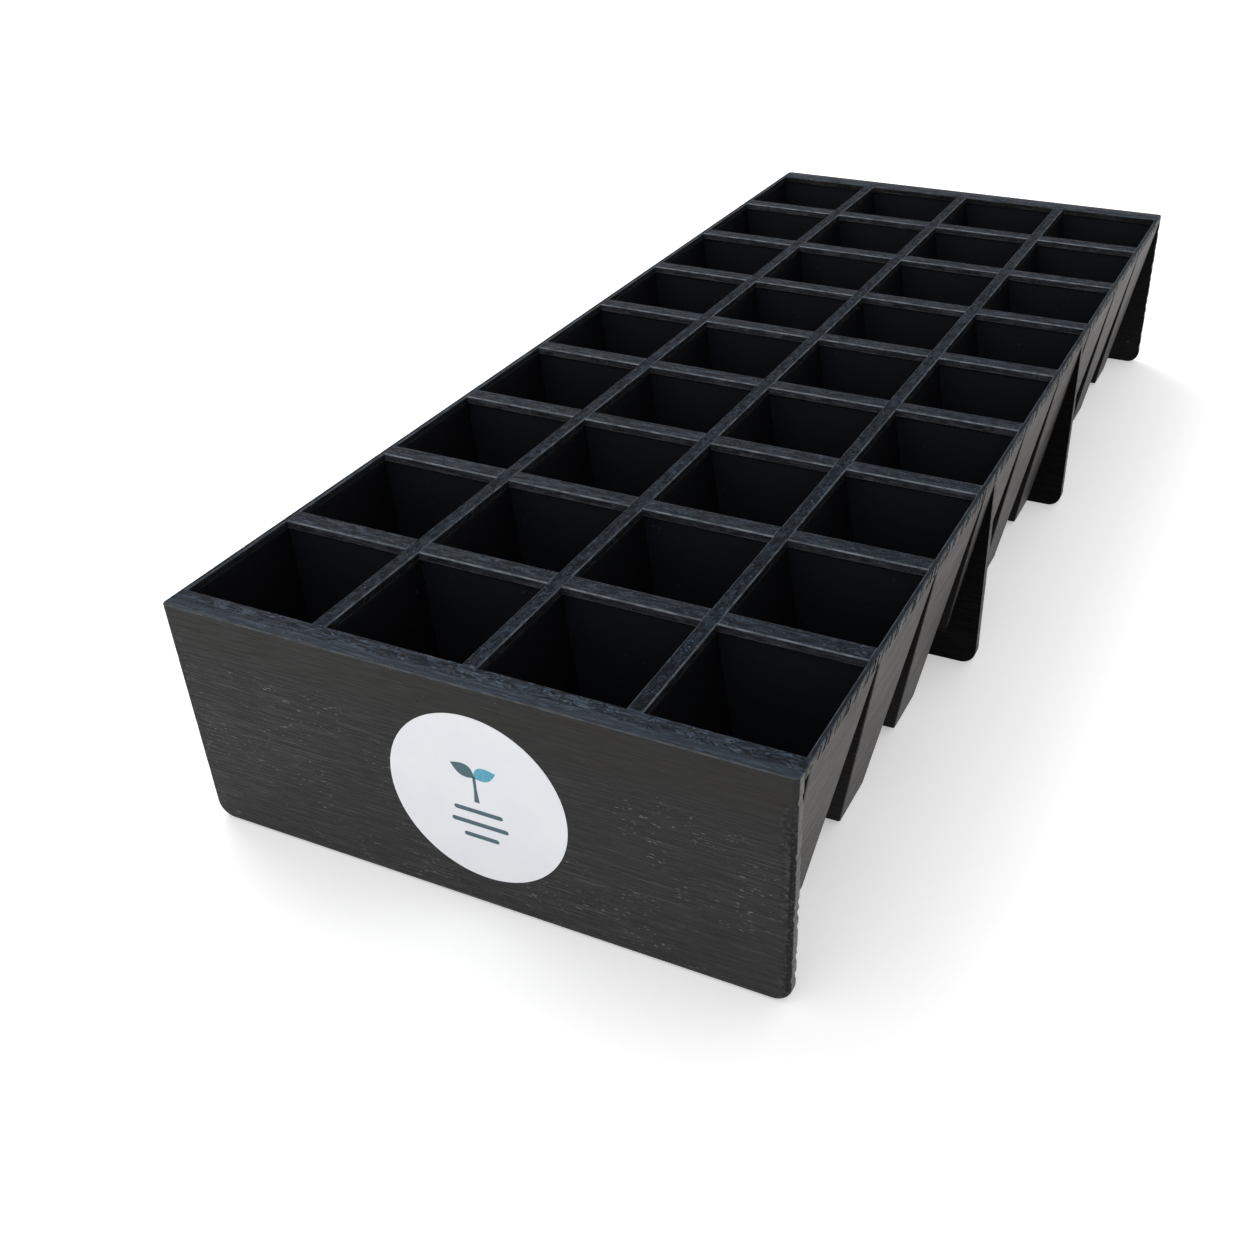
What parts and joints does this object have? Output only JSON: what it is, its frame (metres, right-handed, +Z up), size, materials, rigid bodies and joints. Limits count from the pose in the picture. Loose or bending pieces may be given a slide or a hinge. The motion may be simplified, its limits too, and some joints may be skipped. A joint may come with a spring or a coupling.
{
  "type": "plug tray",
  "caption": "Rectangular plug tray: a flat rib grid over tapered square cell cups, held off the ground by upright plates across both ends and under the middle.",
  "frame": {"origin": "middle of the footprint, on the ground", "axes": "+Z up, +Y along the tray from the labelled front plate to the back plate, +X to the right seen from the front"},
  "size_m": [0.226, 0.5267, 0.0885],
  "materials": {
    "plates": "charcoal, rough horizontal grain",
    "grid": "slate black, worn tops streaked along each rib",
    "cups": "black, fine lengthwise streaks",
    "label": "white printed sticker"
  },
  "bodies": {
    "root": {"front_plate": "plates", "back_plate": "plates", "middle_plate_front": "plates", "middle_plate_back": "plates", "front_rail": "grid", "back_rail": "grid", "left_rail": "grid", "right_rail": "grid", "long_rib_1": "grid", "long_rib_2": "grid", "long_rib_3": "grid", "cross_rib_1": "grid", "cross_rib_2": "grid", "cross_rib_3": "grid", "cross_rib_4": "grid", "cross_rib_5": "grid", "cross_rib_6": "grid", "cross_rib_7": "grid", "cross_rib_8": "grid", "cup_row1_column1": "cups", "cup_row1_column2": "cups", "cup_row1_column3": "cups", "cup_row1_column4": "cups", "cup_row2_column1": "cups", "cup_row2_column2": "cups", "cup_row2_column3": "cups", "cup_row2_column4": "cups", "cup_row3_column1": "cups", "cup_row3_column2": "cups", "cup_row3_column3": "cups", "cup_row3_column4": "cups", "cup_row4_column1": "cups", "cup_row4_column2": "cups", "cup_row4_column3": "cups", "cup_row4_column4": "cups", "cup_row5_column1": "cups", "cup_row5_column2": "cups", "cup_row5_column3": "cups", "cup_row5_column4": "cups", "cup_row6_column1": "cups", "cup_row6_column2": "cups", "cup_row6_column3": "cups", "cup_row6_column4": "cups", "cup_row7_column1": "cups", "cup_row7_column2": "cups", "cup_row7_column3": "cups", "cup_row7_column4": "cups", "cup_row8_column1": "cups", "cup_row8_column2": "cups", "cup_row8_column3": "cups", "cup_row8_column4": "cups", "cup_row9_column1": "cups", "cup_row9_column2": "cups", "cup_row9_column3": "cups", "cup_row9_column4": "cups", "round_label": "label"}
  },
  "joints": []
}
